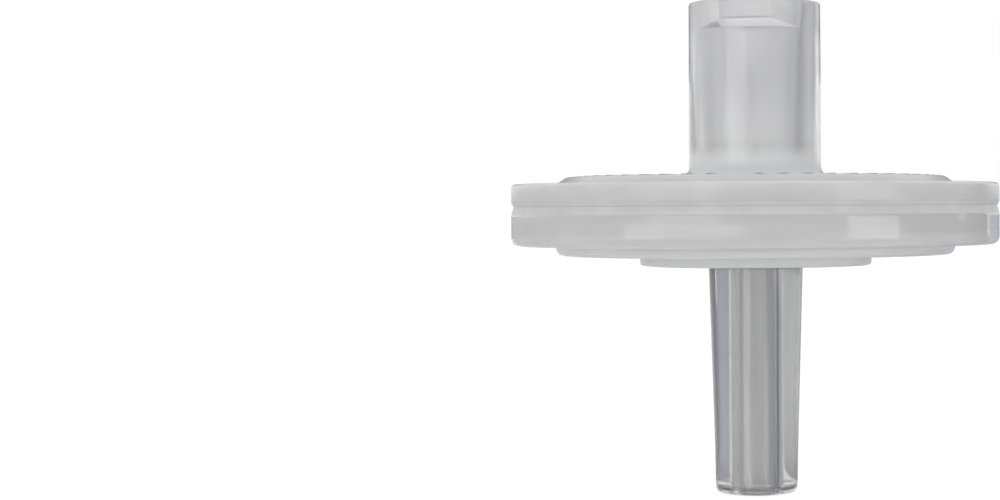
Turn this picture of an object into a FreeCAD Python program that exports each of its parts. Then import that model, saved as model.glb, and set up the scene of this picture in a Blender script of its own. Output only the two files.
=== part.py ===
import FreeCAD, Part
import math
import os

import Sketcher

# A syringe filter: two moulded polypropylene shells welded together at the rim, with a round
# membrane clamped between them. The axis is Z. The inlet shell is on top and ends in a female
# Luer lock hub, and the outlet shell ends in a male Luer tip whose end is at the origin.

SIZES = {
    # plates, from the rim inwards and from the tip upwards
    "rim_diameter": 24.0,
    "flange_width": 2.17,
    "upper_flange_thickness": 1.1,
    "lower_flange_thickness": 1.9,
    "upper_step_height": 0.35,
    "upper_step_slope_width": 0.5,
    "lower_step_depth": 0.49,
    "boss_depth": 0.53,
    "boss_diameter": 11.46,
    # the groove that runs round the rim along the weld
    "weld_groove_depth": 0.115,
    "weld_groove_height_above": 0.2,
    "weld_groove_height_below": 0.4,
    # female Luer lock hub
    "hub_height": 8.56,
    "hub_diameter": 6.5,
    "hub_draft_width": 0.025,
    "socket_mouth_diameter": 4.3,
    "lug_reach_length": 0.65,
    "lug_crest_width": 2.5,
    "lug_height": 1.4,
    "lug_underside_bevel_width": 0.3,
    "port_length": 2.06,
    "port_diameter": 2.3,
    "port_draft_width": 0.05,
    # male Luer tip
    "tip_length": 11.17,
    "tip_end_diameter": 4.0,
    "tip_bore_diameter": 1.8,
    # how much a Luer cone's diameter changes for each millimetre of its length
    "luer_taper": 0.06,
    # membrane, and the plug of the inlet shell that clamps its margin
    "membrane_thickness": 0.15,
    "membrane_margin_width": 0.4,
    "plug_inset_width": 1.7,
    "plug_depth": 0.5,
    "plug_clearance": 0.05,
    "clamp_width": 2.25,
    # ribs of the inlet shell: rings, cut by straight and diagonal channels
    "inlet_chamber_depth": 0.45,
    "ring_clearance": 0.1,
    "ring_field_radius": 3.2,
    "ring_margin_width": 0.625,
    "ring_width": 0.775,
    "ring_gap": 0.375,
    "channel_width": 0.9,
    # ribs of the outlet shell: they run outwards and carry the membrane
    "drain_depth": 0.6,
    "spoke_width": 0.5,
    "spoke_inner_radius": 3.4,
    "spoke_margin_width": 0.45,
    "long_spoke_inner_radius": 1.6,
    # bevelled edges
    "flange_top_bevel_width": 0.12,
    "flange_bottom_bevel_width": 0.3,
    "lower_step_bevel_width": 0.35,
    "boss_bevel_width": 0.2,
    "hub_top_bevel_width": 0.2,
    "hub_base_bevel_width": 0.25,
    "socket_mouth_bevel_width": 0.15,
    "tip_end_bevel_width": 0.12,
}
QUARTERS = 4
SPOKES = 24
LONG_SPOKES = 8
# where the diagonal channel runs, in degrees from the straight one
DIAGONAL = 45
# a bevel takes at most this share of the wall that it is cut into
BEVEL_SHARE = 0.9

# how constraints number the points of a line or an arc, and the sketch's own origin and axes
START, END, CENTRE = range(1, 4)
ORIGIN, X_AXIS, Y_AXIS = -1, -1, -2
CENTRE_POINT = FreeCAD.Vector(0, 0, 0)
UPWARDS = FreeCAD.Vector(0, 0, 1)
NEARLY = 1e-4


class Size:
    """A number together with the expression that works it out from the sheet's cells."""

    def __init__(self, value, text):
        self.value = value
        self.text = text

    def __add__(self, other):
        return Size(self.value + other.value, f"({self.text} + {other.text})")

    def __sub__(self, other):
        return Size(self.value - other.value, f"({self.text} - {other.text})")

    def __mul__(self, other):
        if isinstance(other, Size):
            return Size(self.value * other.value, f"({self.text} * {other.text})")
        return Size(self.value * other, f"({self.text} * {other})")

    def __truediv__(self, number):
        return Size(self.value / number, f"({self.text} / {number})")

    def at_most(self, other):
        return Size(min(self.value, other.value), f"min({self.text}; {other.text})")


def make_sheet(document):
    """Writes every driving size into a spreadsheet, one aliased cell each."""
    sheet = document.addObject("Spreadsheet::Sheet", "Sizes")
    for row, (alias, value) in enumerate(SIZES.items(), start=1):
        sheet.set(f"A{row}", alias.replace("_", " "))
        sheet.set(f"B{row}", str(value))
        sheet.setAlias(f"B{row}", alias)
    document.recompute()
    return sheet


def size(alias):
    return Size(SIZES[alias], f"{sheet.Name}.{alias}")


def radius(alias):
    return size(alias) / 2


def bevel(edge, wall):
    """The width of the bevel on an edge, limited by the wall that it is cut into."""
    return size(f"{edge}_bevel_width").at_most(wall * BEVEL_SHARE)


def new_body(label):
    body = document.addObject("PartDesign::Body", label.title().replace("_", ""))
    body.Label = label
    body.Placement = FreeCAD.Placement()
    return body


def new_sketch(body, name, role, level=None):
    """A sketch on one of the body's own origin planes, raised to a level if one is given."""
    plane = next(feature for feature in body.Origin.OriginFeatures if feature.Role == role)
    sketch = body.newObject("Sketcher::SketchObject", name)
    sketch.AttachmentSupport = [(plane, "")]
    sketch.MapMode = "FlatFace"
    if level:
        sketch.setExpression("AttachmentOffset.Base.z", level.text)
    return sketch


def constrain(sketch, *terms, bound=None):
    """Adds a constraint, and ties its value to the sheet if it has one."""
    if bound is None:
        return sketch.addConstraint(Sketcher.Constraint(*terms))
    index = sketch.addConstraint(Sketcher.Constraint(*terms, bound.value))
    sketch.setExpression(f"Constraints[{index}]", bound.text)
    return index


def draw_outline(sketch, corners):
    """A closed outline of straight lines, each corner placed by its distances from the axes."""
    places = [FreeCAD.Vector(x.value, y.value, 0) for x, y in corners]
    for start, end in zip(places, places[1:] + places[:1]):
        sketch.addGeometry(Part.LineSegment(start, end), False)
    for number in range(len(corners)):
        constrain(sketch, "Coincident", number, END, (number + 1) % len(corners), START)
    for number, (x, y) in enumerate(corners):
        before_x, before_y = corners[number - 1]
        if x is AXIS:
            constrain(sketch, "PointOnObject", number, START, Y_AXIS)
        elif number and x is before_x:
            constrain(sketch, "Vertical", number - 1)
        else:
            constrain(sketch, "DistanceX", ORIGIN, START, number, START, bound=x)
        if y is TIP_END:
            constrain(sketch, "PointOnObject", number, START, X_AXIS)
        elif number and y is before_y:
            constrain(sketch, "Horizontal", number - 1)
        else:
            constrain(sketch, "DistanceY", ORIGIN, START, number, START, bound=y)


def draw_circle(sketch, circle_radius):
    """A circle round the axis."""
    circle = Part.Circle(CENTRE_POINT, UPWARDS, circle_radius.value)
    number = sketch.addGeometry(circle, False)
    constrain(sketch, "Coincident", number, CENTRE, ORIGIN, START)
    constrain(sketch, "Radius", number, bound=circle_radius)


def draw_arc(sketch, centre, arc_radius, begin, end):
    """An arc, counterclockwise from one angle to another. Returns its number in the sketch."""
    circle = Part.Circle(centre, UPWARDS, arc_radius.value)
    return sketch.addGeometry(Part.ArcOfCircle(circle, begin, end), False)


def volume_after(feature):
    """Recomputes and returns the volume of the body so far."""
    document.recompute()
    return feature.Shape.Volume


def expect(feature, grows, volume_before):
    """Stops if a feature did nothing, or cut where it should add."""
    change = volume_after(feature) - volume_before
    if (change > NEARLY) != grows or abs(change) <= NEARLY:
        raise RuntimeError(f"{feature.Name} changed the volume by {change:.4f} mm3")


def turn(body, kind, name, corners):
    """A revolution or a groove of an outline round the axis."""
    volume_before = body.Tip.Shape.Volume if body.Tip else 0
    sketch = new_sketch(body, name + "Outline", "XZ_Plane")
    draw_outline(sketch, corners)
    feature = body.newObject("PartDesign::" + kind, name)
    feature.Profile = sketch
    feature.ReferenceAxis = (sketch, ["V_Axis"])
    feature.Angle = 360
    sketch.Visibility = False
    expect(feature, kind == "Revolution", volume_before)
    return feature


def extrude(body, kind, name, sketch, length, reverse):
    """A pad or a pocket of a sketch."""
    volume_before = body.Tip.Shape.Volume if body.Tip else 0
    feature = body.newObject("PartDesign::" + kind, name)
    feature.Profile = sketch
    feature.Reversed = reverse
    feature.setExpression("Length", length.text)
    sketch.Visibility = False
    expect(feature, kind == "Pad", volume_before)
    return feature


def repeat(body, feature, count):
    """Copies a feature round the axis."""
    volume_before = body.Tip.Shape.Volume
    pattern = body.newObject("PartDesign::PolarPattern", feature.Name + "Pattern")
    pattern.Originals = [feature]
    pattern.Axis = (feature.Profile[0], ["N_Axis"])
    pattern.Angle = 360
    pattern.Occurrences = count
    body.Tip = pattern
    expect(pattern, True, volume_before)
    return pattern


def bevel_edges(body, name, edge_names, length, grows=False):
    """A chamfer along some edges of the body so far. It grows the body in an inner corner."""
    base = body.Tip
    volume_before = base.Shape.Volume
    feature = body.newObject("PartDesign::Chamfer", name)
    feature.Base = (base, edge_names)
    feature.setExpression("Size", length.text)
    expect(feature, grows, volume_before)
    return feature


def circles(body, circle_radius, level):
    """The names of the body's circular edges with this radius at this level."""
    found = []
    for number, edge in enumerate(body.Tip.Shape.Edges, start=1):
        curve = edge.Curve
        if not isinstance(curve, Part.Circle):
            continue
        if abs(curve.Radius - circle_radius.value) > NEARLY:
            continue
        if abs(curve.Center.z - level.value) <= NEARLY:
            found.append(f"Edge{number}")
    return found


def outer_edges(body, level):
    """The names of the edges round the outside of the flat face at this level."""
    flat = next(
        face
        for face in body.Tip.Shape.Faces
        if abs(face.BoundBox.ZMin - level.value) + abs(face.BoundBox.ZMax - level.value) <= NEARLY
    )
    rim = flat.OuterWire.Edges
    return [
        f"Edge{number}"
        for number, edge in enumerate(body.Tip.Shape.Edges, start=1)
        if any(edge.isSame(one) for one in rim)
    ]


def lug_crest_edges(body):
    """The names of the straight lower edges of the two lug crests."""
    found = []
    for number, edge in enumerate(body.Tip.Shape.Edges, start=1):
        box = edge.BoundBox
        level = max(abs(box.ZMin - LUG_UNDERSIDE.value), abs(box.ZMax - LUG_UNDERSIDE.value))
        outward = min(abs(box.YMin), abs(box.YMax)) - LUG_CREST.value
        if level <= NEARLY and abs(outward) <= NEARLY:
            found.append(f"Edge{number}")
    return found


def draw_hub_head(sketch):
    """The hub's round wall with two lugs on it: flat crests, and flanks tangent to the wall."""
    wall = radius("hub_diameter")
    crest = size("lug_crest_width")
    corner = FreeCAD.Vector(crest.value / 2, LUG_CREST.value, 0)
    lean = math.atan2(corner.x, corner.y) + math.acos(wall.value / corner.Length)
    foot = FreeCAD.Vector(wall.value * math.sin(lean), wall.value * math.cos(lean), 0)

    def mirror(point, x_sign, y_sign):
        return FreeCAD.Vector(point.x * x_sign, point.y * y_sign, 0)

    def add_lug(side):
        """A crest with its flanks, drawn counterclockwise. side is 1 for +Y and -1 for -Y."""
        places = [
            mirror(foot, side, side),
            mirror(corner, side, side),
            mirror(corner, -side, side),
            mirror(foot, -side, side),
        ]
        return [
            sketch.addGeometry(Part.LineSegment(start, end), False)
            for start, end in zip(places, places[1:])
        ]

    half_turn = math.pi
    wall_end = math.pi / 2 - lean
    right_wall = draw_arc(sketch, CENTRE_POINT, wall, -wall_end, wall_end)
    left_wall = draw_arc(sketch, CENTRE_POINT, wall, half_turn - wall_end, half_turn + wall_end)
    back = add_lug(1)
    front = add_lug(-1)
    for arc in (right_wall, left_wall):
        constrain(sketch, "Coincident", arc, CENTRE, ORIGIN, START)
        constrain(sketch, "Radius", arc, bound=wall)
    for (rising, crest_line, falling), before, after in (
        (back, right_wall, left_wall),
        (front, left_wall, right_wall),
    ):
        constrain(sketch, "Tangent", before, END, rising, START)
        constrain(sketch, "Coincident", rising, END, crest_line, START)
        constrain(sketch, "Coincident", crest_line, END, falling, START)
        constrain(sketch, "Tangent", falling, END, after, START)
        constrain(sketch, "Symmetric", crest_line, START, crest_line, END, Y_AXIS)
    back_crest = back[1]
    front_crest = front[1]
    constrain(sketch, "Symmetric", back_crest, START, front_crest, END, X_AXIS)
    constrain(sketch, "DistanceX", back_crest, END, back_crest, START, bound=crest)
    constrain(sketch, "DistanceY", ORIGIN, START, back_crest, START, bound=LUG_CREST)


def draw_diagonal(sketch):
    """A construction line along the middle of the diagonal channel."""
    along = FreeCAD.Vector(CHAMBER_WALL.value, 0, 0)
    end = FreeCAD.Rotation(UPWARDS, DIAGONAL).multVec(along)
    line = sketch.addGeometry(Part.LineSegment(CENTRE_POINT, end), True)
    constrain(sketch, "Coincident", line, START, ORIGIN, START)
    constrain(sketch, "Angle", line, math.radians(DIAGONAL))
    constrain(sketch, "Distance", line, bound=CHAMBER_WALL)
    return line


def draw_ring_part(sketch, diagonal, inner, mirrored):
    """One eighth of a ring, from a straight channel to the diagonal one beside it.

    A mirrored part lies on the other side of the diagonal.
    """
    outer = inner + size("ring_width")
    channel = size("channel_width") / 2

    def lean(arc_radius):
        """How far a channel's wall turns the end of an arc away from the channel's middle."""
        return math.asin(channel.value / arc_radius.value)

    def place(arc_radius, angle):
        turned = math.pi / 2 - angle if mirrored else angle
        return FreeCAD.Vector(math.cos(turned), math.sin(turned), 0) * arc_radius.value

    def add_arc(arc_radius, begin, end):
        if mirrored:
            begin, end = math.pi / 2 - end, math.pi / 2 - begin
        number = draw_arc(sketch, CENTRE_POINT, arc_radius, begin, end)
        constrain(sketch, "Coincident", number, CENTRE, ORIGIN, START)
        constrain(sketch, "Radius", number, bound=arc_radius)
        return number

    def add_end(angles):
        places = [place(arc_radius, angle) for arc_radius, angle in zip((inner, outer), angles)]
        return sketch.addGeometry(Part.LineSegment(*places), False)

    straight_angles = [lean(inner), lean(outer)]
    diagonal_angles = [math.radians(DIAGONAL) - angle for angle in straight_angles]
    inner_arc = add_arc(inner, straight_angles[0], diagonal_angles[0])
    outer_arc = add_arc(outer, straight_angles[1], diagonal_angles[1])
    straight_end = add_end(straight_angles)
    diagonal_end = add_end(diagonal_angles)
    near, far = (END, START) if mirrored else (START, END)
    constrain(sketch, "Coincident", inner_arc, near, straight_end, START)
    constrain(sketch, "Coincident", outer_arc, near, straight_end, END)
    constrain(sketch, "Coincident", inner_arc, far, diagonal_end, START)
    constrain(sketch, "Coincident", outer_arc, far, diagonal_end, END)
    constrain(sketch, "Vertical" if mirrored else "Horizontal", straight_end)
    across = "DistanceX" if mirrored else "DistanceY"
    constrain(sketch, across, ORIGIN, START, straight_end, START, bound=channel)
    constrain(sketch, "Parallel", diagonal_end, diagonal)
    constrain(sketch, "Distance", diagonal_end, START, diagonal, bound=channel)


def draw_spoke(sketch, begin, end):
    """A straight bar that lies along the X axis."""
    width = size("spoke_width")
    half = width.value / 2
    places = [
        FreeCAD.Vector(begin.value, -half, 0),
        FreeCAD.Vector(end.value, -half, 0),
        FreeCAD.Vector(end.value, half, 0),
        FreeCAD.Vector(begin.value, half, 0),
    ]
    for start, finish in zip(places, places[1:] + places[:1]):
        sketch.addGeometry(Part.LineSegment(start, finish), False)
    lower, outer, upper, inner = range(len(places))
    constrain(sketch, "Coincident", lower, END, outer, START)
    constrain(sketch, "Coincident", outer, END, upper, START)
    constrain(sketch, "Coincident", upper, END, inner, START)
    constrain(sketch, "Coincident", inner, END, lower, START)
    constrain(sketch, "Symmetric", inner, START, inner, END, X_AXIS)
    constrain(sketch, "Symmetric", outer, START, outer, END, X_AXIS)
    constrain(sketch, "Horizontal", lower)
    constrain(sketch, "DistanceY", outer, START, outer, END, bound=width)
    constrain(sketch, "DistanceX", ORIGIN, START, lower, START, bound=begin)
    constrain(sketch, "DistanceX", ORIGIN, START, lower, END, bound=end)


def inlet_housing():
    """The upper shell: a stepped plate with the Luer lock hub, and the rings of ribs inside it."""
    body = new_body("inlet_housing")
    step_top = STEP_FOOT - size("upper_step_slope_width")
    hub = radius("hub_diameter")
    hub_base = hub + size("hub_draft_width")
    turn(body, "Revolution", "Shell", [
        (AXIS, PLUG_FACE),
        (PLUG_WALL, PLUG_FACE),
        (PLUG_WALL, WELD_PLANE),
        (RIM - size("weld_groove_depth"), WELD_PLANE),
        (RIM, WELD_PLANE + size("weld_groove_height_above")),
        (RIM, FLANGE_TOP),
        (STEP_FOOT, FLANGE_TOP),
        (step_top, UPPER_STEP_TOP),
        (hub_base, UPPER_STEP_TOP),
        (hub, LUG_UNDERSIDE),
        (AXIS, LUG_UNDERSIDE),
    ])
    base_edge = circles(body, hub_base, UPPER_STEP_TOP)
    base_bevel = bevel("hub_base", step_top - hub_base)
    bevel_edges(body, "HubFoot", base_edge, base_bevel, grows=True)
    head = new_sketch(body, "HubHeadOutline", "XY_Plane", LUG_UNDERSIDE)
    draw_hub_head(head)
    extrude(body, "Pad", "HubHead", head, size("lug_height"), False)
    lug_bevel = bevel("lug_underside", size("lug_reach_length"))
    bevel_edges(body, "LugUnderside", lug_crest_edges(body), lug_bevel)
    mouth = radius("socket_mouth_diameter")
    hub_wall = hub - mouth
    top_bevel = bevel("hub_top", hub_wall / 2)
    bevel_edges(body, "HubRim", outer_edges(body, HUB_TOP), top_bevel)
    rim_wall = size("upper_flange_thickness") - size("weld_groove_height_above")
    rim_bevel = bevel("flange_top", rim_wall)
    bevel_edges(body, "FlangeRim", circles(body, RIM, FLANGE_TOP), rim_bevel)
    port = radius("port_diameter")
    turn(body, "Groove", "LuerSocket", [
        (AXIS, INLET_CEILING),
        (port + size("port_draft_width"), INLET_CEILING),
        (port, SOCKET_FLOOR),
        (mouth - size("luer_taper") * (HUB_TOP - SOCKET_FLOOR) / 2, SOCKET_FLOOR),
        (mouth, HUB_TOP),
        (AXIS, HUB_TOP),
    ])
    mouth_bevel = bevel("socket_mouth", hub_wall / 2)
    bevel_edges(body, "SocketMouth", circles(body, mouth, HUB_TOP), mouth_bevel)
    chamber = new_sketch(body, "ChamberOutline", "XY_Plane", PLUG_FACE)
    draw_circle(chamber, CHAMBER_WALL)
    extrude(body, "Pocket", "Chamber", chamber, size("inlet_chamber_depth"), True)
    rings = new_sketch(body, "RingOutline", "XY_Plane", INLET_CEILING)
    diagonal = draw_diagonal(rings)
    pitch = size("ring_width") + size("ring_gap")
    outermost = CHAMBER_WALL - size("ring_margin_width") - size("ring_width")
    spare = outermost - size("ring_field_radius")
    for step in range(1 + max(0, math.floor(spare.value / pitch.value + NEARLY))):
        inner = outermost - pitch * step
        draw_ring_part(rings, diagonal, inner, mirrored=False)
        draw_ring_part(rings, diagonal, inner, mirrored=True)
    height = size("inlet_chamber_depth") - size("ring_clearance")
    quarter = extrude(body, "Pad", "RingQuarter", rings, height, True)
    repeat(body, quarter, QUARTERS)
    return body


def outlet_housing():
    """The lower shell: a stepped cup with the Luer tip, and the spokes that carry the membrane."""
    body = new_body("outlet_housing")
    boss = radius("boss_diameter")
    tip_end = radius("tip_end_diameter")
    bore = radius("tip_bore_diameter")
    turn(body, "Revolution", "Shell", [
        (AXIS, TIP_END),
        (tip_end, TIP_END),
        (tip_end + size("luer_taper") * size("tip_length") / 2, BOSS_FACE),
        (boss, BOSS_FACE),
        (boss, LOWER_STEP_FACE),
        (STEP_FOOT, LOWER_STEP_FACE),
        (STEP_FOOT, FLANGE_UNDERSIDE),
        (RIM, FLANGE_UNDERSIDE),
        (RIM, WELD_PLANE - size("weld_groove_height_below")),
        (RIM - size("weld_groove_depth"), WELD_PLANE),
        (AXIS, WELD_PLANE),
    ])
    rim_wall = size("lower_flange_thickness") - size("weld_groove_height_below")
    for name, edge_radius, level, length in (
        ("TipEnd", tip_end, TIP_END, bevel("tip_end", tip_end - bore)),
        ("BossEdge", boss, BOSS_FACE, bevel("boss", size("boss_depth"))),
        ("StepEdge", STEP_FOOT, LOWER_STEP_FACE, bevel("lower_step", size("lower_step_depth"))),
        ("FlangeRim", RIM, FLANGE_UNDERSIDE, bevel("flange_bottom", rim_wall)),
    ):
        bevel_edges(body, name, circles(body, edge_radius, level), length)
    recess = new_sketch(body, "RecessOutline", "XY_Plane", WELD_PLANE)
    draw_circle(recess, PLUG_WALL + size("plug_clearance"))
    extrude(body, "Pocket", "PlugRecess", recess, WELD_PLANE - MEMBRANE_SEAT, False)
    drain = new_sketch(body, "DrainOutline", "XY_Plane", MEMBRANE_SEAT)
    draw_circle(drain, CHAMBER_WALL)
    extrude(body, "Pocket", "Drain", drain, size("drain_depth"), False)
    tip_bore = new_sketch(body, "TipBoreOutline", "XY_Plane", DRAIN_FLOOR)
    draw_circle(tip_bore, bore)
    extrude(body, "Pocket", "TipBore", tip_bore, DRAIN_FLOOR, False)
    for name, begin, end, count in (
        ("Spoke", size("spoke_inner_radius"), CHAMBER_WALL - size("spoke_margin_width"), SPOKES),
        ("LongSpoke", size("long_spoke_inner_radius"), size("spoke_inner_radius"), LONG_SPOKES),
    ):
        sketch = new_sketch(body, name + "Outline", "XY_Plane", DRAIN_FLOOR)
        draw_spoke(sketch, begin, end)
        spoke = extrude(body, "Pad", name, sketch, size("drain_depth"), False)
        repeat(body, spoke, count)
    return body


def membrane():
    """The membrane: a disc held by its margin between the plug and the outlet shell."""
    body = new_body("membrane")
    sketch = new_sketch(body, "DiscOutline", "XY_Plane", MEMBRANE_SEAT)
    draw_circle(sketch, PLUG_WALL - size("membrane_margin_width"))
    extrude(body, "Pad", "Disc", sketch, size("membrane_thickness"), False)
    return body


def check_document():
    """Stops if any object of the document failed to build."""
    for item in document.Objects:
        if "Invalid" in item.State or "Error" in item.State:
            raise RuntimeError(f"{item.Label} is {item.State}")


def write_step(body):
    """Writes one sub-part to its own file, once its shape is sound."""
    shape = body.Shape
    if shape.isNull() or not shape.isValid() or len(shape.Solids) != 1:
        raise RuntimeError(f"{body.Label} is not one valid solid")
    shape.exportStep(os.path.join("parts", body.Label + ".step"))


document = FreeCAD.newDocument("SyringeFilter")
sheet = make_sheet(document)

# radii
AXIS = Size(0, "0")
RIM = radius("rim_diameter")
STEP_FOOT = RIM - size("flange_width")
PLUG_WALL = RIM - size("plug_inset_width")
CHAMBER_WALL = PLUG_WALL - size("clamp_width")
LUG_CREST = radius("hub_diameter") + size("lug_reach_length")
# levels
TIP_END = Size(0, "0")
BOSS_FACE = size("tip_length")
LOWER_STEP_FACE = BOSS_FACE + size("boss_depth")
FLANGE_UNDERSIDE = LOWER_STEP_FACE + size("lower_step_depth")
WELD_PLANE = FLANGE_UNDERSIDE + size("lower_flange_thickness")
FLANGE_TOP = WELD_PLANE + size("upper_flange_thickness")
UPPER_STEP_TOP = FLANGE_TOP + size("upper_step_height")
HUB_TOP = UPPER_STEP_TOP + size("hub_height")
LUG_UNDERSIDE = HUB_TOP - size("lug_height")
PLUG_FACE = WELD_PLANE - size("plug_depth")
INLET_CEILING = PLUG_FACE + size("inlet_chamber_depth")
SOCKET_FLOOR = INLET_CEILING + size("port_length")
MEMBRANE_SEAT = PLUG_FACE - size("membrane_thickness")
DRAIN_FLOOR = MEMBRANE_SEAT - size("drain_depth")

bodies = [inlet_housing(), outlet_housing(), membrane()]
document.recompute()
check_document()
os.makedirs("parts", exist_ok=True)
for body in bodies:
    write_step(body)
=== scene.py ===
"""A syringe filter of natural polypropylene: two welded shells, a membrane and a printed scale."""
import math

import bmesh
import bpy
from bpy.props import FloatProperty, FloatVectorProperty, IntProperty, PointerProperty
from bpy.types import NodeSocket, Operator, Panel, PropertyGroup
from mathutils import Matrix, Vector


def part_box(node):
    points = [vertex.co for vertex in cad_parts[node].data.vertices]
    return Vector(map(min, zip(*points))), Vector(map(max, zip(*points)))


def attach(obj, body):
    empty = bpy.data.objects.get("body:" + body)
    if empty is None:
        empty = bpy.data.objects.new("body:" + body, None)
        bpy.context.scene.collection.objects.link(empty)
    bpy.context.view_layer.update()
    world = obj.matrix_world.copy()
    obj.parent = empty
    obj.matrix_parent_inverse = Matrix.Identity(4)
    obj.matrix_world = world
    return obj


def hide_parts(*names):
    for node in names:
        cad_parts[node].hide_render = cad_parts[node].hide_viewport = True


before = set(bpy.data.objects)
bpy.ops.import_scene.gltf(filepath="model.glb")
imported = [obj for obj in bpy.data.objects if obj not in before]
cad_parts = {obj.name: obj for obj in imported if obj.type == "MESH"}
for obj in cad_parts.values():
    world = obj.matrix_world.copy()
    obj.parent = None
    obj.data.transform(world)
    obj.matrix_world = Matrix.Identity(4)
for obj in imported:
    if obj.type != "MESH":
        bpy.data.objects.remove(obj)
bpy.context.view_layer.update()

bl_info = {
    "name": "Syringe Filter",
    "version": (1, 0, 0),
    "blender": (4, 5, 0),
    "location": "View3D > Sidebar > Filter",
    "description": "Models a syringe filter over its packed frame, with its finishes and a studio",
    "category": "Add Mesh",
}

INLET_LOW, INLET_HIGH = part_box("inlet_housing")
OUTLET_LOW, OUTLET_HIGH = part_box("outlet_housing")
MEMBRANE_LOW, MEMBRANE_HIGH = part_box("membrane")

MM = 0.001
NEARLY = 1e-6
QUARTER_TURN = math.radians(90)
EIGHTH_TURN = math.radians(45)

# how finely what is round is divided, and which edges still look smooth or flat
SPIN_STEPS = 256
ROUND_STEPS = 5
RING_STEPS = 24
CARD_STEPS = 32
SMOOTH_ANGLE = math.radians(32)
FLAT_ANGLE = math.radians(0.2)

# the upper shell: its rim and step, then its hub from the foot up, then its hollow
PLUG_ROUND = 0.1 * MM
GROOVE_TOP_ROUND = 0.05 * MM
RIM_TOP_ROUND = 0.14 * MM
STEP_FOOT_ROUND = 0.05 * MM
STEP_TOP_ROUND = 0.08 * MM
HUB_FOOT_LOOP = 0.8 * MM
HEAD_LAP = 0.3 * MM
LUG_UNDERSIDE_RISE = 0.35 * MM
LUG_UNDERSIDE_ROUND = 0.12 * MM
HUB_TOP_ROUND = 0.12 * MM
SOCKET_MOUTH_ROUND = 0.12 * MM
SOCKET_FLOOR_ROUND = 0.1 * MM
PORT_MOUTH_ROUND = 0.12 * MM
PORT_WIDENING = 0.05 * MM
CEILING_ROUND = 0.15 * MM

# the lower shell, from the tip up and then inside
BORE_MOUTH_ROUND = 0.05 * MM
TIP_END_ROUND = 0.26 * MM
TIP_ROOT_ROUND = 0.15 * MM
BOSS_ROUND = 0.2 * MM
STEP_ROOT_ROUND = 0.1 * MM
LOWER_STEP_ROUND = 0.36 * MM
GROOVE_FOOT_ROUND = 0.08 * MM
DRAIN_EDGE_ROUND = 0.15 * MM
DRAIN_OUTLET_ROUND = 0.25 * MM

# the weld, the membrane, the ribs and the print
WELD_GAP = 0.006 * MM
WALL_LOOP = 0.1 * MM
PLUG_CLEARANCE = 0.05 * MM
MEMBRANE_ROUND = 0.03 * MM
RIB_ROOT = 0.05 * MM
RING_END_ROUND = 0.25 * MM
SPOKE_END_ROUND = 0.2 * MM
SPOKE_TOP_ROUND = 0.1 * MM
TICK_GAP_STEP = 12

# how far a picked edge or face may lie from where it is looked for
EDGE_MARGIN = 0.01 * MM
MOUTH_MARGIN = 0.002 * MM
FINISH_MARGIN = 0.02 * MM

# the Mix node's sockets, for colours and for numbers
MIX_FACTOR, MIX_FIRST, MIX_SECOND, MIX_COLOUR = 0, 6, 7, 2
MIX_FIRST_NUMBER, MIX_SECOND_NUMBER, MIX_NUMBER = 2, 3, 0

# the plastic: how far light scatters, its clouds, grain and flow ripples, and tool marks, which on
# the turned rim also paint reflection streaks into its colour
SCATTER_LENGTH = 1.1 * MM
CLOUD_SIZE = 2.0 * MM
CLOUD_GAIN = 0.35
GRAIN_SIZE = 0.15 * MM
RIPPLE_SIZE = 0.6 * MM
TURNING_MARKS_AND_PAINTED_STREAKS = (0.08, 0.08, 4.0)
DRAWING_MARKS = (2.0, 2.0, 0.08)
# radii and levels between which the painted light that lifts the shade round the hub's foot and on
# the step goes from none to full
PAINTED_LIFT_RADII = (10 * MM, 8 * MM)
PAINTED_LIFT_LEVELS = (20.5 * MM, 16 * MM)
# levels between which the steps underneath end, and how much painted light lifts the shade under
# them
PAINTED_LIFT_FOOT = (12.0 * MM, 12.4 * MM)
UNDERSIDE_LIFT_SHARE = 1.0
# levels between which the hub goes from as clear as the flanges, and painted paler to lift the
# shade at its foot, to its own clearness and colour
HUB_CLEARING_AND_PAINTED_LIFT = (16.3 * MM, 17.1 * MM)
SATIN_CLEARNESS, DRAWN_CLEARNESS = 0.3, 0.65
FLEECE_SIZE = 0.1 * MM

# name, azimuth, elevation, distance, width, height, radiance
SOFT_BOXES = (
    ("top_soft_box", 0, 90, 0.4, 0.3, 0.3, 0.7),
    ("left_high_box", -32, 6.2, 0.25, 0.15, 0.042, 1.9),
    ("left_low_box", -50.5, -0.6, 0.25, 0.087, 0.015, 2.3),
    ("left_strip_light", -22.7, 0.45, 0.25, 0.163, 0.005, 2.3),
    ("left_thin_light", -22.7, -0.07, 0.25, 0.163, 0.0008, 2.4),
    ("right_strip_light", 52.5, -1.5, 0.12, 0.053, 0.02, 2.3),
)
# profiles of the cards, from one (radius, level) to the next
LOW_CARD = ((2.4 * MM, 0.3 * MM), (150 * MM, 0.3 * MM), (150 * MM, 9 * MM))
TALL_CARD = ((2.4 * MM, 0.3 * MM), (150 * MM, 0.3 * MM), (150 * MM, 15 * MM))
MIDDLE_CARD = ((151 * MM, 9 * MM), (151 * MM, 15 * MM))
REAR_CARD = ((151 * MM, 15 * MM), (151 * MM, 62 * MM))
HIGH_CARD = ((152 * MM, 15 * MM), (152 * MM, 70 * MM))
BACK_CARD = ((152 * MM, 30 * MM), (152 * MM, 78 * MM))
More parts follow.
